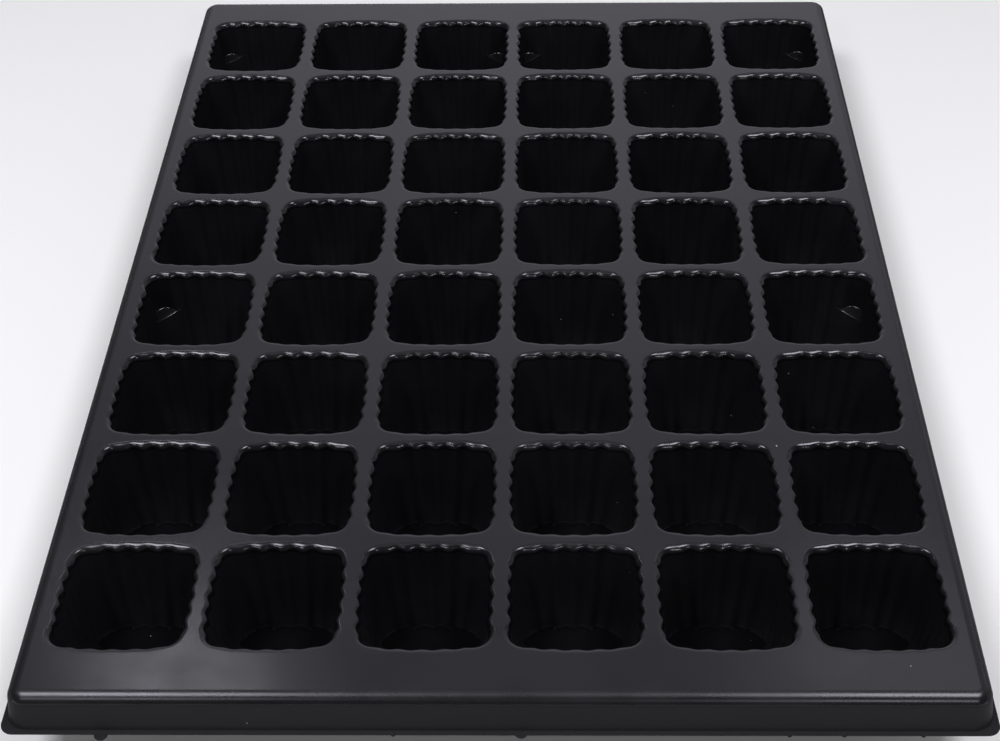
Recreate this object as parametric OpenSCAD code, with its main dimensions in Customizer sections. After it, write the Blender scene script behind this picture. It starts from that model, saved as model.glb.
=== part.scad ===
// Seedling plug tray, formed from one black plastic sheet.
// The cells hang from a flat deck, and a skirt with a narrow flange stiffens the edge.
// Every node is one region of the sheet, and neighbours meet face to face.
// Origin: middle of the tray, on the surface that the cells stand on. +Y runs along the long side.

/* [Grid] */
// Cells across the short side
columns = 6; // [2:1:6]
// Cells along the long side
rows = 8; // [2:1:8]
// Distance from one cell to the next
pitch = 45; // [42:0.5:60]

/* [Sheet] */
// Thickness of the formed sheet
sheet = 0.6; // [0.5:0.1:1]
// Deck height above the surface that the cells stand on
height = 36; // [30:1:45]

/* [Cell] */
// Mouth of a cell from wall to wall, between the flutes
mouth = 38.6; // [36:0.2:39.4]
// Lean of the cell walls
draft = 6; // [3:0.5:8]
// How far the middle of a wall bows out past its ends
bow = 1.3; // [0.6:0.1:2]
// How far a corner of the mouth is drawn in from the corner of its square
corner_inset = 2.2; // [1.4:0.1:3.2]
// Lean of the cell corners
corner_draft = 8.5; // [6:0.5:10]
// Diameter of the drain hole in the floor
drain_d = 10; // [5:0.5:14]

/* [Flutes] */
// How far a flute stands out of its wall
flute_depth = 0.65; // [0.4:0.05:0.9]
// Width of a flute's crest
flute_crest = 2.2; // [1.6:0.1:3]
// Flutes on the front and back walls
end_flutes = 4; // [2:1:4]
// Spacing of the flutes on the front and back walls
end_flute_pitch = 6.3; // [5.8:0.1:6.6]
// Flutes on the left and right walls
side_flutes = 5; // [2:1:5]
// Spacing of the flutes on the left and right walls
side_flute_pitch = 5.8; // [5.5:0.1:5.9]

/* [Stacking lugs] */
// Depth of the ledge below the deck
lug_depth = 15.5; // [10:0.5:20]
// How far the filled corner below the ledge is drawn in from the corner of the mouth's square
lug_inset = 7.9; // [7.3:0.1:8.7]
// Radius of the plain corner above the ledge
lug_corner_r = 4; // [3.5:0.1:4.4]

/* [Rim] */
// Deck beside the outer columns, which is also the tray's corner radius
side_margin = 5.7; // [5:0.1:8]
// Deck beyond the end rows
end_margin = 16.5; // [10:0.5:25]
// Radius of the rolled edge between deck and skirt
roll_r = 4; // [3:0.1:4.6]
// Depth of the skirt below the deck, flange included
skirt_drop = 12.6; // [8:0.2:18]
// How far the skirt leans out at its foot
skirt_lean = 1.6; // [1:0.1:3]
// Width of the flange beyond the skirt
flange_w = 1.1; // [0.8:0.1:2.5]
// Corner radius of the flange
flange_corner_r = 4; // [3:0.1:4.5]

/* [Parting tags] */
// Radius of the tags left on the flange where the tray was parted from its web
tag_r = 2; // [1.5:0.1:3]
// Distance of the outer tag from the end of its run of rim
outer_tag_from_end = 19.5; // [5:0.5:30]
// How far the outer tag stands out of the flange
outer_tag_reach = 1.9; // [0.5:0.1:2.5]
// Distance of the inner tag from the middle of the run
inner_tag_from_middle = 6.5; // [0:0.5:15]
// How far the inner tag stands out of the flange
inner_tag_reach = 0.9; // [0.5:0.1:2.5]

/* [Hidden] */
$fn = 96;
overshoot = 1;
sheet_black = "#2c2d31";
grid_w = columns * pitch;
grid_l = rows * pitch;
half_mouth = mouth / 2;
half_diagonal = half_mouth * sqrt(2);
half_width_midway = half_mouth - height / 2 * tan(draft);
bow_r = (half_mouth * half_mouth + bow * bow) / (2 * bow);
ledge_z = height - lug_depth;
lug_reach = half_diagonal - lug_inset;
lug_centre = half_mouth + flute_depth - lug_corner_r;
corner_r = side_margin;
corner_x = grid_w / 2;
corner_y = grid_l / 2 + end_margin - corner_r;
skirt_foot_r = corner_r + skirt_lean;
flange_edge_r = skirt_foot_r + flange_w;
flange_z = height - skirt_drop;
RIMS = ["rim_front", "rim_back", "rim_left", "rim_right"];
CORNERS = ["corner_front_left", "corner_front_right", "corner_back_left", "corner_back_right"];
CELLS = [for (r = [1:rows]) for (c = [1:columns]) cell_name(c, r)];

function cell_name(c, r) = str("cell_r", r, "_c", c);
function cell_place(i, count) = (i - (count + 1) / 2) * pitch;
function is_outer(i, count) = i == 1 || i == count;
function is_middle(i, count) = 2 * i == count || 2 * i == count + 2;
function has_lug(c, r) =
    (is_outer(r, rows) && (is_outer(c, columns) || is_middle(c, columns))) ||
    (is_outer(c, columns) && is_middle(r, rows));
// Side of the cell that its lug is on: outwards in an outer row or column, inwards in a middle one
function lug_side(i, count) = sign(cell_place(i, count)) * (is_outer(i, count) ? 1 : -1);

// Point of a bowed wall's plan: its distance along the wall and how far it stands out
function wall_point(along, out) = [sqrt(bow_r * bow_r - along * along) - bow_r + out, along];

// Plan of the space inside one bowed and fluted wall, whose middle is at the origin, facing +X
module wall_plan(flutes, flute_pitch, grow) {
    first = -flutes * flute_pitch / 2;
    rise = (flute_pitch - flute_crest) / 2;
    flute = [[0, 0], [rise, flute_depth], [rise + flute_crest, flute_depth]];
    fluted = [
        for (i = [0:flutes - 1])
            for (step = flute) wall_point(first + i * flute_pitch + step[0], grow + step[1])
    ];
    polygon(concat(
        [[-2 * pitch, -pitch / 2], wall_point(-pitch / 2, grow)],
        fluted,
        [wall_point(-first, grow), wall_point(pitch / 2, grow), [-2 * pitch, pitch / 2]]
    ));
}

// The wall's plan drawn down along its lean
module wall_space(flutes, flute_pitch, grow) {
    translate([half_width_midway, 0, height / 2])
        rotate([0, draft, 0])
            linear_extrude(4 * height, center = true) wall_plan(flutes, flute_pitch, grow);
}

// Space inside one drawn-in corner, which leans more than the walls
module corner_space(grow) {
    wide = 2 * pitch;
    translate([half_diagonal - corner_inset + grow, 0, height])
        rotate([0, corner_draft, 0])
            translate([-2 * wide, -wide / 2, -wide])
                cube([2 * wide, wide, 2 * wide]);
}

// Tapered body of a plain cell between two heights, grown outwards all round
module cell_body(z0, z1, grow) {
    intersection() {
        translate([-pitch, -pitch, z0]) cube([2 * pitch, 2 * pitch, z1 - z0]);
        intersection_for (turn = [0, 180]) rotate(turn) wall_space(side_flutes, side_flute_pitch, grow);
        intersection_for (turn = [90, 270]) rotate(turn) wall_space(end_flutes, end_flute_pitch, grow);
        intersection_for (turn = [45:90:315]) rotate(turn) corner_space(grow);
    }
}

// Space that the lug takes from its corner below the ledge
module lug_fill(grow) {
    wide = 2 * pitch;
    rotate(45)
        translate([lug_reach + grow, 0, ledge_z - grow])
            rotate([0, draft, 0])
                translate([0, -wide / 2, -wide])
                    cube([wide, wide, wide]);
}

// Plain round corner above the ledge
module lug_corner(z1, grow) {
    translate([lug_centre, lug_centre, ledge_z - grow])
        cylinder(h = z1 - ledge_z + grow, r = lug_corner_r + grow);
}

// Body of a cell whose corner at +X, +Y carries a stacking lug
module lug_cell_body(z0, z1, grow) {
    difference() {
        cell_body(z0, z1, grow);
        intersection() {
            lug_fill(grow);
            translate([0, 0, z0 - overshoot]) cube([pitch, pitch, ledge_z - grow - z0 + overshoot]);
        }
    }
    lug_corner(z1, grow);
}

// Cup with its square of deck, its floor and its drain hole
module cell_cup(lug) {
    difference() {
        union() {
            translate([-pitch / 2, -pitch / 2, height - sheet]) cube([pitch, pitch, sheet]);
            if (lug) lug_cell_body(0, height, sheet);
            else cell_body(0, height, sheet);
        }
        if (lug) lug_cell_body(sheet, height + overshoot, 0);
        else cell_body(sheet, height + overshoot, 0);
        translate([0, 0, -overshoot]) cylinder(h = sheet + 2 * overshoot, d = drain_d);
    }
}

module cell(c, r) {
    lug = has_lug(c, r);
    color(sheet_black)
        translate([cell_place(c, columns), cell_place(r, rows), 0])
            mirror([lug && lug_side(c, columns) < 0 ? 1 : 0, 0, 0])
                mirror([0, lug && lug_side(r, rows) < 0 ? 1 : 0, 0])
                    cell_cup(lug);
}

// Everything under the deck, the rolled edge and the skirt, drawn in by inset, in section.
// X runs outwards from the middle of the tray's corner radius.
module under_sheet(margin, inset) {
    inner = corner_r - margin;
    translate([inner, flange_z]) square([margin - roll_r, skirt_drop - inset]);
    translate([corner_r - roll_r, height - roll_r]) intersection() {
        circle(roll_r - inset);
        square(roll_r);
    }
    polygon([
        [inner, flange_z],
        [skirt_foot_r - inset, flange_z],
        [corner_r - inset, height - roll_r],
        [inner, height - roll_r]
    ]);
}

// Section of the sheet from a deck as wide as the margin to the foot of the skirt
module edge_section(margin) {
    difference() {
        under_sheet(margin, 0);
        under_sheet(margin, sheet);
    }
}

// Section of a straight run of rim
module rim_section(margin) {
    edge_section(margin);
    translate([skirt_foot_r - sheet, flange_z]) square([flange_w + sheet, sheet]);
}

// Straight run of rim, facing +Y
module rim_run(length, margin) {
    rotate([90, 0, 90]) translate([0, 0, -length / 2]) linear_extrude(length) rim_section(margin);
}

// Half-round tag on the flange of an end run
module tag(along, reach) {
    translate([along, flange_edge_r + reach - tag_r, flange_z]) cylinder(h = sheet, r = tag_r);
}

module end_rim(turn) {
    color(sheet_black) rotate(turn) translate([0, corner_y, 0]) {
        rim_run(grid_w, end_margin);
        tag(grid_w / 2 - outer_tag_from_end, outer_tag_reach);
        tag(-inner_tag_from_middle, inner_tag_reach);
    }
}

module side_rim(turn) {
    color(sheet_black) rotate(turn) translate([0, corner_x, 0]) rim_run(2 * corner_y, side_margin);
}

// Quarter of flange that stands out past the round foot of the skirt
module flange_ear() {
    square_part = flange_edge_r - flange_corner_r;
    translate([0, 0, flange_z]) linear_extrude(sheet) difference() {
        union() {
            square([flange_edge_r, square_part]);
            square([square_part, flange_edge_r]);
            translate([square_part, square_part]) circle(flange_corner_r);
        }
        circle(skirt_foot_r - sheet);
    }
}

// Rounded corner of the tray towards +X, +Y
module rim_corner() {
    rotate_extrude(angle = 90) edge_section(corner_r);
    flange_ear();
}

module corner(side, end) {
    color(sheet_black)
        translate([side * corner_x, end * corner_y, 0])
            mirror([side < 0 ? 1 : 0, 0, 0])
                mirror([0, end < 0 ? 1 : 0, 0])
                    rim_corner();
}

for (r = [1:rows])
    for (c = [1:columns])
        cell(c, r);
end_rim(180);  // rim_front
end_rim(0);  // rim_back
side_rim(90);  // rim_left
side_rim(270);  // rim_right
corner(-1, -1);  // corner_front_left
corner(1, -1);  // corner_front_right
corner(-1, 1);  // corner_back_left
corner(1, 1);  // corner_back_right
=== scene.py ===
"""Seedling plug tray: one formed sheet of black plastic with fluted cells, a rolled skirt and a flange."""

from math import atan2, cos, pi, radians, sin, tan

import bmesh
import bpy
from mathutils import Matrix, Vector


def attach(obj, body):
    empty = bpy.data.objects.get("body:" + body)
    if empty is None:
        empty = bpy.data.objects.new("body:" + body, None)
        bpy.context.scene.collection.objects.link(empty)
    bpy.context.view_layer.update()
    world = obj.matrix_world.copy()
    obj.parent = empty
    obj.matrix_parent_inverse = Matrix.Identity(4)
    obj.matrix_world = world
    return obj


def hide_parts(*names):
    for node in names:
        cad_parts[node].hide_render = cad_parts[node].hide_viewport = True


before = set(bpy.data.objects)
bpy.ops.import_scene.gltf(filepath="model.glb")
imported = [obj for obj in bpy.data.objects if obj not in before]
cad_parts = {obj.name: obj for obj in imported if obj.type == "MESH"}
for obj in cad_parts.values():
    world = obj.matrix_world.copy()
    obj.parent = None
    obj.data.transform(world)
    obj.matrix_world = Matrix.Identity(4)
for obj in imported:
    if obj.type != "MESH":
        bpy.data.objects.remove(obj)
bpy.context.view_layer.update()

# Sizes of the tray, in millimetres
MM = 0.001
COLUMNS, ROWS, PITCH = 6, 8, 45.0
SHEET, DECK_Z = 0.6, 36.0

# A cell: half its mouth between the flutes, the radius of its bowed walls and their lean
HALF_MOUTH, BOW_R, DRAFT = 19.0, 144.0, radians(6)

# Corners of a cell at the deck and at the foot, and how far their curve is pulled towards its tip
CORNER_TOP, CORNER_FOOT, CORNER_PULL = 2.2, 4.0, 0.56

# The lip of a mouth: its height, its reach, the flat of deck kept round it and where it leaves the deck
LIP_R, LIP_REACH, LIP_MARGIN = 2.8, 2.2, 0.3
LIP_START = LIP_REACH * (1 - sin(DRAFT)) / cos(DRAFT)

# The round foot of the walls, the depth of the floor, a circle on it and the drain hole
FOOT_R, FLOOR_R, DRAIN_R = 2.5, 10.0, 5.0
FLOOR_DEPTH = DECK_Z - SHEET

# Flutes: their depth, the power that narrows their crests and the power by which they rise down the lip
FLUTE_DEPTH, CREST_POWER, RISE_POWER = 1.0, 1.1, 1.4

# A side and an end wall: count and spacing of the flutes, share of their depth at the deck, flare of the lip
WALLS = [(5, 5.8, 0.7, -0.55), (4, 6.3, 0.15, 0.55)]

# A stacking lug: depth of its ledge, where it starts along the walls and the length in which it leaves them
LEDGE, LUG_START, LUG_EASE = 15.5, 11.3, 2.4

# The pocket above a ledge: its reach along X and along Y and its corner
POCKET_X, POCKET_Y, POCKET_R = 19.5, 18.6, 5.0

# Section of a ledge: share of the way from the pocket to the filled corner, and drop below its depth
LEDGE_SECTION = [
    (0, -0.8), (0.02, -0.4), (0.07, -0.12), (0.15, 0), (0.5, 0.02),
    (0.84, 0.05), (0.92, 0.18), (0.98, 0.45), (1, 0.85),
]

# Depths of the outlines between the lip and the foot of a plain cell, and between a lip and a ledge
WALL_DEPTHS, POCKET_DEPTHS = (9.0, 18.0), (7.0, 12.0)

# The rim: edge of the deck, rolled edge, corner, flat of deck kept before the roll, lean of the skirt
EDGE_X, EDGE_Y, ROLL_R, EDGE_CORNER = 140.7, 196.5, 4.0, 5.7
DECK_MARGIN, LEAN = 0.3, radians(9)

# The flange: its height, its reach past the deck's edge, its corner and the fillet above it
FLANGE_Z, FLANGE_REACH, FLANGE_CORNER, FLANGE_FILLET = 24.0, 2.7, 4.0, 0.7

# Round of the flange's edge: how far back from it and how far down
FLANGE_EDGE = [(0.4, 0.0), (0.12, 0.06), (0.0, 0.22)]

# Parting tags on the front: radius, then place along X and reach of each; the back's are half a turn round
TAG_R, TAGS = 2.0, [(-113.8, 1.88), (6.5, 0.9)]
TAG_SHEET, TAG_BEVEL = 0.5, 0.12

# Burrs of the trimmed edge, placed as the tags are: radius, reach and places along X
BURR_R, BURR_REACH, BURRS = 0.7, 0.35, (83.0, 98.5, 121.0, -30.0)

# Points of a wall and of a corner in a cell's outline, and steps of the round forms
WALL_POINTS, CORNER_POINTS = 49, 7
LIP_STEPS, FOOT_STEPS, ROLL_STEPS, FILLET_STEPS, QUARTER_STEPS = 8, 5, 10, 5, 12
TAG_POINTS = 32

# Angle past which an edge is sharp
SHARP = radians(50)

# Places of the finishes in the list of a cell and in that of the rim
SATIN, DULL, FOOT_PAINTED_SHADE = 0, 1, 2
ROLLED, MATTE = 1, 2

# Slopes of the rim at which its finish changes: upward part of a face's normal, and its part to the side
LEVEL, STEEP, SIDEWAYS = 0.998, 0.47, 0.5

# The satin edges of a ledge: slopes between which they lie, and height of their band; slope of the floor
LEDGE_STEEP, LEDGE_LEVEL, LEDGE_BAND = 0.15, 0.97, 1.2
FOOT_BAND, FOOT_SLOPE = 1.0, 0.5

# Heights between which the walls' colour is painted paler downwards: painted fill light that lifts their
# shade
PAINTED_FILL_FROM, PAINTED_FILL_TO = 12.0, 3.0

# Patterns of the sheet, per metre: smears, grain, ripple and specks of dust
SMEAR_SCALE, GRAIN_SCALE, RIPPLE_SCALE, SPECK_SCALE = 26, 2600, 34, 100

# Specks: the largest one's radius as a share of its field, the share of fields left bare, the dust's colour
SPECK_R, SPECKLESS, DUST = 0.025, 0.72, (0.42, 0.42, 0.43, 1)

# Floor of the studio, in metres: colour, half its width and how far it lies below the tray
FLOOR_COLOUR, FLOOR_HALF, FLOOR_DROP = (0.96, 0.96, 0.885, 1), 4, 0.0003

# Level and colour of the studio's walls, and colour of its lamps
SKY_LEVEL, SKY_COLOUR, LAMP_COLOUR = 0.1, (1, 0.97, 1.1, 1), (0.975, 0.975, 1.09)

# Pale parts of the studio, behind, to the right and above: direction, sharpness and strength
SKY_LOBES = [
    ((-0.01, 0.891, 0.454), 11, 0.86),
    ((0.8, 0.55, 0.24), 6, 0.36),
    ((0, 0.22, 0.975), 14, 0.45),
]

# Soft boxes, in metres: name, place, point aimed at, width and length, radiance
SOFT_BOXES = [
    ("soft_box_left", (-0.46, -0.27, 1.1), (-0.46, -0.27, 0), (0.36, 0.44), 12.8),
    ("soft_box_right", (0.46, -0.23, 1.1), (0.46, -0.23, 0), (0.36, 0.44), 11.8),
    ("front_box_left", (-0.55, -1.13, 1.1), (0, -0.1, 0), (0.25, 0.2), 9.5),
    ("front_box_right", (0.55, -1.5, 1.1), (0, -0.1, 0), (0.25, 0.2), 14.0),
    ("back_panel_left", (-0.365, 0.58, 1.05), (-0.1, -0.19, 0), (0.15, 0.1), 5.8),
    ("back_panel_right", (0.4, 0.6, 1.05), (0.11, -0.19, 0), (0.3, 0.16), 1.0),
]

# Camera: sensor and lens in millimetres, sideways shift, place in metres and turn in degrees
SENSOR, LENS, SHIFT_X, CLIP_START = 36, 60.136, -0.0186, 0.01
CAMERA_PLACE = (0.012565, -0.484182, 0.419488)
CAMERA_TURN = (48.0919, 0.5914, 0.5378)


class Shade:
    """A socket of a material, so that its sums read as plain expressions."""

    def __init__(self, tree, socket=None):
        self.tree = tree
        self.socket = socket

    def node(self, kind, settings=(), links=(), out=0):
        """Adds a node: its type, its settings, the values or links of its sockets and the output to use."""
        made = self.tree.nodes.new("ShaderNode" + kind)
        for name, value in dict(settings).items():
            if name == "stops":
                ramp = made.color_ramp.elements
                for element, (place, grey) in zip(ramp, value):
                    element.position = place
                    element.color = (grey, grey, grey, 1)
            else:
                setattr(made, name, value)
        for name, value in dict(links).items():
            if isinstance(value, Shade):
                self.tree.links.new(value.socket, made.inputs[name])
            else:
                made.inputs[name].default_value = value
        return Shade(self.tree, made.outputs[out] if made.outputs else None)

    def maths(self, operation, other):
        """Adds a Math node on this socket and another one or a number."""
        return self.node("Math", {"operation": operation}, {0: self, 1: other})

    def __add__(self, other):
        return self.maths("ADD", other)

    __radd__ = __add__

    def __mul__(self, other):
        return self.maths("MULTIPLY", other)

    __rmul__ = __mul__

    def __pow__(self, other):
        return self.maths("POWER", other)

    def __lt__(self, other):
        return self.maths("LESS_THAN", other)

    def __gt__(self, other):
        return self.maths("GREATER_THAN", other)


def new_tree(name):
    """A material of that name with an empty node tree."""
    material = bpy.data.materials.new(name)
    material.use_nodes = True
    material.node_tree.nodes.clear()
    return material, Shade(material.node_tree)


def noise(tree, place, scale, detail, roughness):
    """Noise of a scale over a place."""
    links = {"Vector": place, "Scale": scale, "Detail": detail, "Roughness": roughness}
    return tree.node("TexNoise", links=links)


def dust_specks(tree, place):
    """Mask of a few round specks of dust of different sizes."""
    field = {"Vector": place, "Scale": SPECK_SCALE}
    distance = tree.node("TexVoronoi", links=field)
    lot = tree.node("TexVoronoi", links=field, out="Color")
    lot = tree.node("SeparateColor", links={"Color": lot})
    return (distance < lot * SPECK_R) * (lot > SPECKLESS)


def black_sheet(name, shade, roughness, specular, painted_fill=0.0):
    """Black formed sheet of one finish, with a fine grain, smears and a little dust.

    The last argument is the share by which the colour is painted paler towards the foot of the walls, a
    painted fill light that lifts the shade there.
    """
    material, tree = new_tree(name)
    place = tree.node("TexCoord", out="Object")
    smears = noise(tree, place, SMEAR_SCALE, 4, 0.6)
    smears = tree.node("ValToRGB", {"stops": [(0.42, 0), (0.72, 1)]}, {"Fac": smears})
    grain = noise(tree, place, GRAIN_SCALE, 2, 0.6)
    ripple = noise(tree, place, RIPPLE_SCALE, 1, 0.4)
    specks = dust_specks(tree, place)
    clean = (shade, shade, shade * 1.1, 1)
    smeared = (shade * 1.5, shade * 1.5, shade * 1.6, 1)
    black = tree.node("Mix", {"data_type": "RGBA"}, {0: smears, 6: clean, 7: smeared}, out=2)
    # Painted fill light: the colour is raised towards the foot of the walls, where shade falls
    height = tree.node("SeparateXYZ", links={0: place}, out="Z")
    painted_fill_ramp = {"Value": height, 1: PAINTED_FILL_FROM * MM, 2: PAINTED_FILL_TO * MM, 3: 0.0, 4: painted_fill}
    painted_fill_ramp = tree.node("MapRange", links=painted_fill_ramp)
    black = tree.node("VectorMath", {"operation": "SCALE"}, {0: black, "Scale": painted_fill_ramp + 1})
    colour = tree.node("Mix", {"data_type": "RGBA"}, {0: specks, 6: black, 7: DUST}, out=2)
    relief = {"Strength": 0.35, "Distance": 0.0004, "Height": ripple + grain * 0.06}
    plastic = tree.node(
        "BsdfPrincipled",
        links={
            "Base Color": colour,
            "Roughness": roughness + smears * 0.08 + grain * 0.08 + specks * 0.3,
            "IOR": 1.5,
            "Specular IOR Level": specular,
            "Normal": tree.node("Bump", links=relief),
        },
    )
    tree.node("OutputMaterial", links={"Surface": plastic})
    return material


def mix(a, b, share):
    """The way from a to b, by a share."""
    return a + (b - a) * share


def lobes(s, count, spacing):
    """Share of a flute's depth along a wall: 1 on a flute's crest, 0 between the flutes and beyond them."""
    if abs(s) >= count * spacing / 2:
        return 0.0
    crest = (count - 1) / 2 * spacing
    return (0.5 + 0.5 * cos(2 * pi * (s - crest) / spacing)) ** CREST_POWER


def corner_curve(first, last, tip):
    """Points of a curve that rounds a corner from one wall's end to the next one's start."""
    a, b = mix(first, tip, CORNER_PULL), mix(last, tip, CORNER_PULL)
    points = []
    for j in range(CORNER_POINTS):
        t = (j + 1) / (CORNER_POINTS + 1)
        ends = (1 - t) ** 3, t ** 3
        pulls = 3 * t * (1 - t) ** 2, 3 * t * t * (1 - t)
        points.append(first * ends[0] + a * pulls[0] + b * pulls[1] + last * ends[1])
    return points


def cell_outline(half, flute, corner, turn=1.0):
    """Plan of a cell, wall by wall from +X to -Y and each with the corner that follows it.

    The turn is how far the lip has turned from the deck to the wall.
    """
    shrink = half / HALF_MOUTH
    reach = half - half * half / (2 * BOW_R)
    run = reach - corner
    end = half - run * run / (2 * BOW_R)
    rounded = corner_curve(Vector((end, run)), Vector((run, end)), Vector((reach, reach)))
    points = []
    for wall in range(4):
        count, spacing, at_deck, flare = WALLS[wall % 2]
        place = Matrix.Rotation(wall * pi / 2, 2)
        for j in range(WALL_POINTS):
            s = run * (2 * j / (WALL_POINTS - 1) - 1)
            bulge = flute * mix(at_deck, 1, turn ** RISE_POWER) * lobes(s / shrink, count, spacing)
            bulge += flare * (1 - sin(turn * pi / 2)) * (1 - (s / run) ** 4)
            points.append(place @ Vector((half - s * s / (2 * BOW_R) + bulge, s)))
        points += [place @ point for point in rounded]
    return points


def lug_zone():
    """Points of a cell's outline that its lug takes, and how far along it each one is."""
    last = WALL_POINTS - 1
    run = HALF_MOUTH - HALF_MOUTH ** 2 / (2 * BOW_R) - CORNER_TOP
    start = round(last * (LUG_START / run + 1) / 2)
    zone = range(start, 2 * WALL_POINTS + CORNER_POINTS - start)
    return [(i, (i - start) / (len(zone) - 1)) for i in zone]


def pocket_point(i, outline, grow):
    """Place of an outline's point on the round corner above the ledge, and its share of that corner."""
    corner = POCKET_R + grow
    middle = Vector((POCKET_X - POCKET_R, POCKET_Y - POCKET_R))
    if WALL_POINTS <= i < WALL_POINTS + CORNER_POINTS:
        a = (i - WALL_POINTS + 1) / (CORNER_POINTS + 1) * pi / 2
        return middle + Vector((corner * cos(a), corner * sin(a))), 1.0
    side = i < WALL_POINTS
    s = outline[i].y if side else outline[i].x
    far = outline[WALL_POINTS - 1].y
    ease = min(1.0, max(0.0, (s - LUG_START) / LUG_EASE))
    plain = middle.y if side else middle.x
    along = LUG_START + (s - LUG_START) * (plain - LUG_START) / (far - LUG_START)
    point = Vector((middle.x + corner, along)) if side else Vector((along, middle.y + corner))
    return point, ease * ease * (3 - 2 * ease)


def above_ledge(outline, grow=0):
    """The outline with the lug's plain round corner."""
    shaped = list(outline)
    for i, _ in lug_zone():
        point, share = pocket_point(i, outline, grow)
        shaped[i] = mix(outline[i], point, share)
    return shaped


def below_ledge(outline):
    """The outline with the lug's corner filled straight across."""
    shaped = list(outline)
    zone = lug_zone()
    first, last = outline[zone[0][0]], outline[zone[-1][0]]
    for i, share in zone:
        shaped[i] = mix(first, last, share)
    return shaped


def plain_mouth():
    """Outline of a mouth where its lip leaves the deck, without flutes."""
    return cell_outline(HALF_MOUTH + LIP_START, 0, CORNER_TOP + LIP_START)


def deck_edge():
    """Edge of the cell's square of deck, with a point for each point of the mouth."""
    return [p * (PITCH / 2 / max(abs(p.x), abs(p.y))) for p in plain_mouth()]


def lip_rings(lug):
    """Outlines from the flat of the deck over the lip to the wall, each with its depth."""
    rings = []
    turns = [(0, LIP_MARGIN)] + [(k / LIP_STEPS, 0) for k in range(LIP_STEPS + 1)]
    for turn, margin in turns:
        angle = turn * (pi / 2 - DRAFT)
        grow = LIP_START - LIP_REACH * sin(angle)
        outline = cell_outline(
            HALF_MOUTH + grow + margin, FLUTE_DEPTH, CORNER_TOP + grow + margin, turn
        )
        if lug:
            outline = above_ledge(outline, grow + margin)
        rings.append((outline, LIP_R * (1 - cos(angle))))
    return rings


def wall_ring(depth):
    """Outline of the cell's wall at a depth below the deck."""
    corner = mix(CORNER_TOP, CORNER_FOOT, depth / DECK_Z)
    return cell_outline(HALF_MOUTH - depth * tan(DRAFT), FLUTE_DEPTH, corner)


def ledge_rings():
    """Outlines of the walls with a lug, from the lip down past the ledge, each with its depth."""
    rings = [(above_ledge(wall_ring(depth)), depth) for depth in POCKET_DEPTHS]
    for share, drop in LEDGE_SECTION:
        depth = LEDGE + drop
        upper, lower = above_ledge(wall_ring(depth)), below_ledge(wall_ring(depth))
        rings.append(([mix(a, b, share) for a, b in zip(upper, lower)], depth))
    return rings


def foot_rings(lug):
    """Outlines round the foot of the walls, where the flutes run out, each with its depth."""
    rings = []
    middle = FLOOR_DEPTH - FOOT_R
    touch = middle + FOOT_R * sin(DRAFT)
    for k in range(FOOT_STEPS + 1):
        angle = mix(DRAFT, pi / 2, k / FOOT_STEPS)
        draw = FOOT_R * (cos(DRAFT) - cos(angle))
        half = HALF_MOUTH - touch * tan(DRAFT) - draw
        outline = cell_outline(half, FLUTE_DEPTH * (1 - k / FOOT_STEPS), CORNER_FOOT - draw)
        rings.append((below_ledge(outline) if lug else outline, middle + FOOT_R * sin(angle)))
    return rings


def floor_circle(radius):
    """Circle on the floor, with a point for each point of the mouth."""
    turned = [atan2(p.y, p.x) for p in plain_mouth()]
    return [Vector((radius * cos(a), radius * sin(a))) for a in turned]


def cell_rings(lug):
    """Outlines of a cell from the edge of its square of deck down to the drain hole."""
    rings = [(deck_edge(), 0.0)]
    rings += lip_rings(lug)
    rings += ledge_rings() if lug else [(wall_ring(depth), depth) for depth in WALL_DEPTHS]
    rings += foot_rings(lug)
    rings += [(floor_circle(radius), FLOOR_DEPTH) for radius in (FLOOR_R, DRAIN_R)]
    return [[Vector((p.x, p.y, DECK_Z - depth)) for p in outline] for outline, depth in rings]


def draw_sheet(bm, rings):
    """Draws a ring of edges from outline to outline, as the sheet is drawn into its mould."""
    ring = bmesh.ops.create_circle(bm, segments=len(rings[0]), radius=1)["verts"]
    for v, place in zip(ring, rings[0]):
        v.co = place
    for outline in rings[1:]:
        edges = [bm.edges.get((ring[i - 1], ring[i])) for i in range(len(ring))]
        drawn = bmesh.ops.extrude_edge_only(bm, edges=edges)["geom"]
        fresh = {g for g in drawn if isinstance(g, bmesh.types.BMVert)}
        ring = [next(e.other_vert(v) for e in v.link_edges if e.other_vert(v) in fresh) for v in ring]
        for v, place in zip(ring, outline):
            v.co = place


def thicken(bm):
    """Merges what meets, turns the drawn side outwards and gives the sheet its thickness below it."""
    bmesh.ops.remove_doubles(bm, verts=bm.verts, dist=1e-4)
    bmesh.ops.recalc_face_normals(bm, faces=bm.faces)
    top = max(bm.faces, key=lambda f: f.calc_center_median().z)
    if top.normal.z < 0:
        bmesh.ops.reverse_faces(bm, faces=bm.faces)
    bmesh.ops.solidify(bm, geom=bm.faces[:], thickness=SHEET)


def finish_piece(bm, name, finishes, nodes):
    """Makes the piece's object in metres and puts it in the place of its solids."""
    bmesh.ops.scale(bm, vec=(MM, MM, MM), verts=bm.verts)
    for face in bm.faces:
        face.smooth = True
    for edge in bm.edges:
        edge.smooth = edge.calc_face_angle(0) < SHARP
    mesh = bpy.data.meshes.new(name)
    bm.to_mesh(mesh)
    bm.free()
    for material in finishes:
        mesh.materials.append(material)
    piece = bpy.data.objects.new(name, mesh)
    bpy.context.scene.collection.objects.link(piece)
    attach(piece, "root")
    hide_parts(*nodes)


def is_outer(i, count):
    """Whether a row or column is the first or the last."""
    return i in (1, count)


def is_middle(i, count):
    """Whether a row or column is one of the two in the middle."""
    return 2 * i in (count, count + 2)


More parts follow.
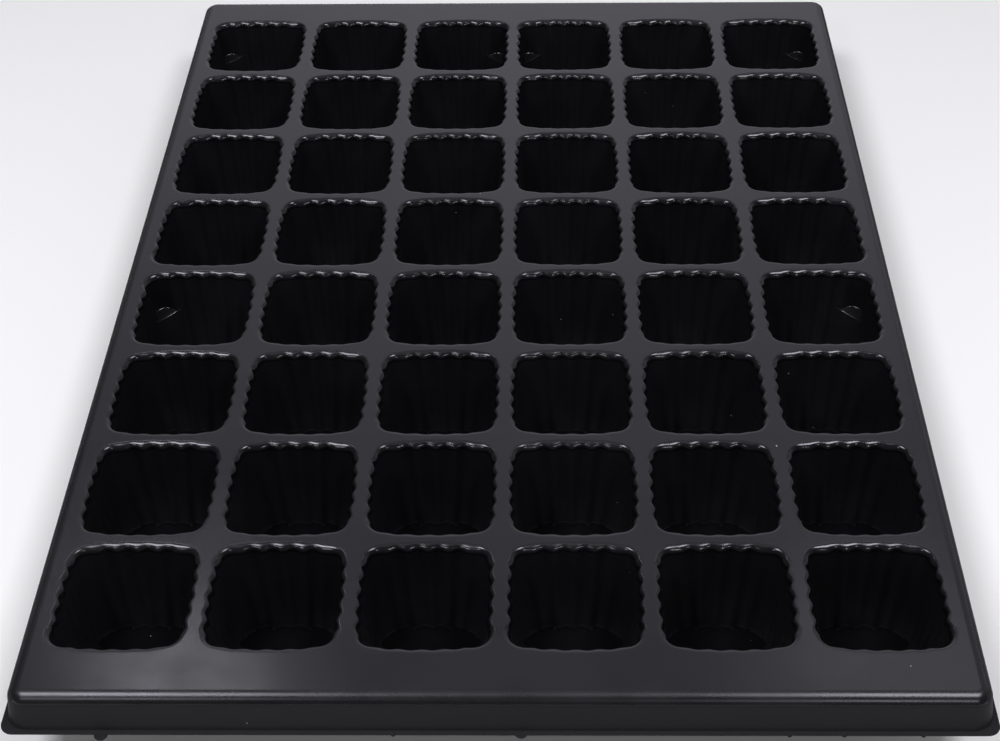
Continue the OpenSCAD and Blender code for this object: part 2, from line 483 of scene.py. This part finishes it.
def has_lug(c, r):
    """Whether a cell carries a stacking lug."""
    ends = is_outer(r, ROWS) and (is_outer(c, COLUMNS) or is_middle(c, COLUMNS))
    return ends or (is_outer(c, COLUMNS) and is_middle(r, ROWS))


def lug_side(i, count):
    """Side of the cell that its lug is on: outwards in an outer row or column, inwards in a middle one."""
    return (1 if 2 * i > count + 1 else -1) * (1 if is_outer(i, count) else -1)


def cell_finish(face, lug):
    """Finish of a cell's face: satin on the deck, the lip and a ledge's round edges, dull on the walls with
    painted fill light, and on the floor a copy painted darker than the walls as painted shade.
    """
    place, up = face.calc_center_median(), face.normal.z
    in_corner = lug and min(place.x, place.y) > LUG_START
    on_ledge = in_corner and abs(DECK_Z - LEDGE - place.z) < LEDGE_BAND
    if place.z > DECK_Z - LIP_R or (on_ledge and LEDGE_STEEP < up < LEDGE_LEVEL):
        return SATIN
    # Floor faces take the copy of the sheet painted darker than the walls: painted shade
    return FOOT_PAINTED_SHADE if place.z < FOOT_R + FOOT_BAND and up > FOOT_SLOPE else DULL


def make_cells(finishes):
    """The cells, each with its square of deck, its lip, its drawn walls, its floor and its drain hole."""
    forms = {}
    for lug in (False, True):
        forms[lug] = bmesh.new()
        draw_sheet(forms[lug], cell_rings(lug))
        thicken(forms[lug])
        for face in forms[lug].faces:
            face.material_index = cell_finish(face, lug)
    for r in range(1, ROWS + 1):
        for c in range(1, COLUMNS + 1):
            lug = has_lug(c, r)
            bm = forms[lug].copy()
            if lug:
                side, end = lug_side(c, COLUMNS), lug_side(r, ROWS)
                bmesh.ops.scale(bm, vec=(side, end, 1), verts=bm.verts)
                if side * end < 0:
                    bmesh.ops.reverse_faces(bm, faces=bm.faces)
            place = Vector(((c - (COLUMNS + 1) / 2) * PITCH, (r - (ROWS + 1) / 2) * PITCH, 0))
            bmesh.ops.translate(bm, vec=place, verts=bm.verts)
            node = f"cell_r{r}_c{c}"
            finish_piece(bm, "formed_" + node, finishes, [node])
    for form in forms.values():
        form.free()


def rounded_outline(half_x, half_y, corner, z):
    """Rectangle with round corners at a height."""
    points = []
    for quarter, (sx, sy) in enumerate([(1, 1), (-1, 1), (-1, -1), (1, -1)]):
        for k in range(QUARTER_STEPS + 1):
            a = (quarter + k / QUARTER_STEPS) * pi / 2
            x = sx * (half_x - corner) + corner * cos(a)
            y = sy * (half_y - corner) + corner * sin(a)
            points.append(Vector((x, y, z)))
    return points


def rim_outline(grow, corner, z):
    """Outline of the rim, grown past the start of the rolled edge."""
    return rounded_outline(EDGE_X - ROLL_R + grow, EDGE_Y - ROLL_R + grow, corner, z)


def rim_rings():
    """Outlines of the rim from the cells across the rolled edge and down the skirt to the flange's edge."""
    corner = EDGE_CORNER - ROLL_R
    rings = [rounded_outline(COLUMNS * PITCH / 2, ROWS * PITCH / 2, 0, DECK_Z)]
    rings.append(rim_outline(-DECK_MARGIN, corner - DECK_MARGIN, DECK_Z))
    for k in range(ROLL_STEPS + 1):
        angle = (pi / 2 - LEAN) * k / ROLL_STEPS
        grow = ROLL_R * sin(angle)
        rings.append(rim_outline(grow, corner + grow, DECK_Z - ROLL_R + ROLL_R * cos(angle)))
    roll_end = ROLL_R * cos(LEAN)
    foot = roll_end + (DECK_Z - ROLL_R + ROLL_R * sin(LEAN) - FLANGE_Z) * tan(LEAN)
    middle = foot + FLANGE_FILLET * (1 - sin(LEAN)) / cos(LEAN)
    for k in range(FILLET_STEPS + 1):
        angle = mix(LEAN, pi / 2, k / FILLET_STEPS)
        grow = middle - FLANGE_FILLET * cos(angle)
        rings.append(rim_outline(grow, corner + grow, FLANGE_Z + FLANGE_FILLET * (1 - sin(angle))))
    reach = ROLL_R + FLANGE_REACH
    for back, drop in FLANGE_EDGE:
        rings.append(rim_outline(reach - back, FLANGE_CORNER - back, FLANGE_Z - drop))
    return rings


def is_level(edge):
    """Whether an edge lies flat."""
    return abs(edge.verts[0].co.z - edge.verts[1].co.z) < 1e-6


def add_tag(bm, x, end, radius, reach):
    """Half-round tag left on the flange of one end where the tray was parted from its web."""
    y = end * (EDGE_Y + FLANGE_REACH + reach - radius)
    disc = bmesh.ops.create_cone(
        bm, cap_ends=True, segments=TAG_POINTS, radius1=radius, radius2=radius, depth=TAG_SHEET,
        matrix=Matrix.Translation((x, y, FLANGE_Z - SHEET / 2)),
    )
    edges = {edge for v in disc["verts"] for edge in v.link_edges if is_level(edge)}
    bmesh.ops.bevel(
        bm, geom=list(edges), offset=TAG_BEVEL, segments=2, profile=0.5, affect="EDGES", material=-1
    )


def rim_finish(face):
    """Finish of a rim's face: satin on the deck, rougher on the rolled edge, matte where it is steep."""
    low = face.calc_center_median().z < DECK_Z - ROLL_R
    if low or face.normal.z < STEEP or abs(face.normal.x) > SIDEWAYS:
        return MATTE
    return ROLLED if face.normal.z < LEVEL else SATIN


def make_rim(finishes):
    """The rim all round the tray, with its tags and the burrs of its trimmed edge."""
    bm = bmesh.new()
    draw_sheet(bm, rim_rings())
    thicken(bm)
    for end in (-1, 1):
        for x, reach in TAGS:
            add_tag(bm, -end * x, end, TAG_R, reach)
        for x in BURRS:
            add_tag(bm, -end * x, end, BURR_R, BURR_REACH)
    for face in bm.faces:
        face.material_index = rim_finish(face)
    nodes = ["rim_front", "rim_back", "rim_left", "rim_right"]
    nodes += [f"corner_{end}_{side}" for end in ("front", "back") for side in ("left", "right")]
    finish_piece(bm, "formed_rim", finishes, nodes)


def pale_floor():
    """Plain pale floor under the tray."""
    material, tree = new_tree("pale_floor")
    surface = tree.node("BsdfDiffuse", links={"Color": FLOOR_COLOUR})
    tree.node("OutputMaterial", links={"Surface": surface})
    bm = bmesh.new()
    bmesh.ops.create_grid(bm, x_segments=1, y_segments=1, size=FLOOR_HALF)
    bmesh.ops.translate(bm, vec=(0, 0, -FLOOR_DROP), verts=bm.verts)
    mesh = bpy.data.meshes.new("floor")
    bm.to_mesh(mesh)
    bm.free()
    mesh.materials.append(material)
    floor = bpy.data.objects.new("floor", mesh)
    bpy.context.scene.collection.objects.link(floor)


def studio_walls():
    """Soft studio round the tray: pale behind it and above, darker in front."""
    world = bpy.data.worlds.new("studio")
    world.use_nodes = True
    world.node_tree.nodes.clear()
    tree = Shade(world.node_tree)
    toward = tree.node("TexCoord", out="Generated")
    pale = SKY_LEVEL
    for middle, sharpness, strength in SKY_LOBES:
        near = tree.node("VectorMath", {"operation": "DOT_PRODUCT"}, {0: toward, 1: middle}, out="Value")
        pale = pale + near.maths("MAXIMUM", 0) ** sharpness * strength
    sky = tree.node("Background", links={"Color": SKY_COLOUR, "Strength": pale})
    tree.node("OutputWorld", links={"Surface": sky})
    bpy.context.scene.world = world


def soft_boxes():
    """Soft boxes over the tray, in front of it and behind it."""
    for name, place, aim, size, radiance in SOFT_BOXES:
        data = bpy.data.lights.new(name, "AREA")
        data.shape = "RECTANGLE"
        data.size, data.size_y = size
        data.energy = radiance * pi * size[0] * size[1]
        data.color = LAMP_COLOUR
        lamp = bpy.data.objects.new(name, data)
        lamp.location = place
        lamp.rotation_euler = (Vector(aim) - Vector(place)).to_track_quat("-Z", "Y").to_euler()
        lamp.visible_camera = False
        bpy.context.scene.collection.objects.link(lamp)


def photo_camera():
    """Camera at the photograph's place and angle."""
    data = bpy.data.cameras.new("camera")
    data.sensor_fit = "HORIZONTAL"
    data.sensor_width = SENSOR
    data.lens = LENS
    data.shift_x = SHIFT_X
    data.clip_start = CLIP_START
    camera = bpy.data.objects.new("camera", data)
    camera.location = CAMERA_PLACE
    camera.rotation_euler = [radians(turn) for turn in CAMERA_TURN]
    bpy.context.scene.collection.objects.link(camera)
    bpy.context.scene.camera = camera


photo_camera()
studio_walls()
soft_boxes()
pale_floor()
satin = black_sheet("satin_sheet", shade=0.0042, roughness=0.13, specular=0.5)
# The walls' copy of the sheet is painted paler than the deck's, 0.0075 against 0.0042, and paler still at
# their foot: painted fill light in the shade of the cells
dull = black_sheet("dull_sheet_painted_fill", shade=0.0075, roughness=0.5, specular=0.05, painted_fill=0.4)
# The floor's copy of the sheet is painted darker than the walls': painted shade on the cell floors
foot = black_sheet("foot_sheet_painted_shade", shade=0.0042, roughness=0.5, specular=0.0)
make_cells([satin, dull, foot])
rolled = black_sheet("rolled_sheet", shade=0.0042, roughness=0.22, specular=0.5)
matte = black_sheet("matte_sheet", shade=0.0044, roughness=0.66, specular=0.3)
make_rim([satin, rolled, matte])
bpy.context.scene.view_settings.view_transform = "Standard"
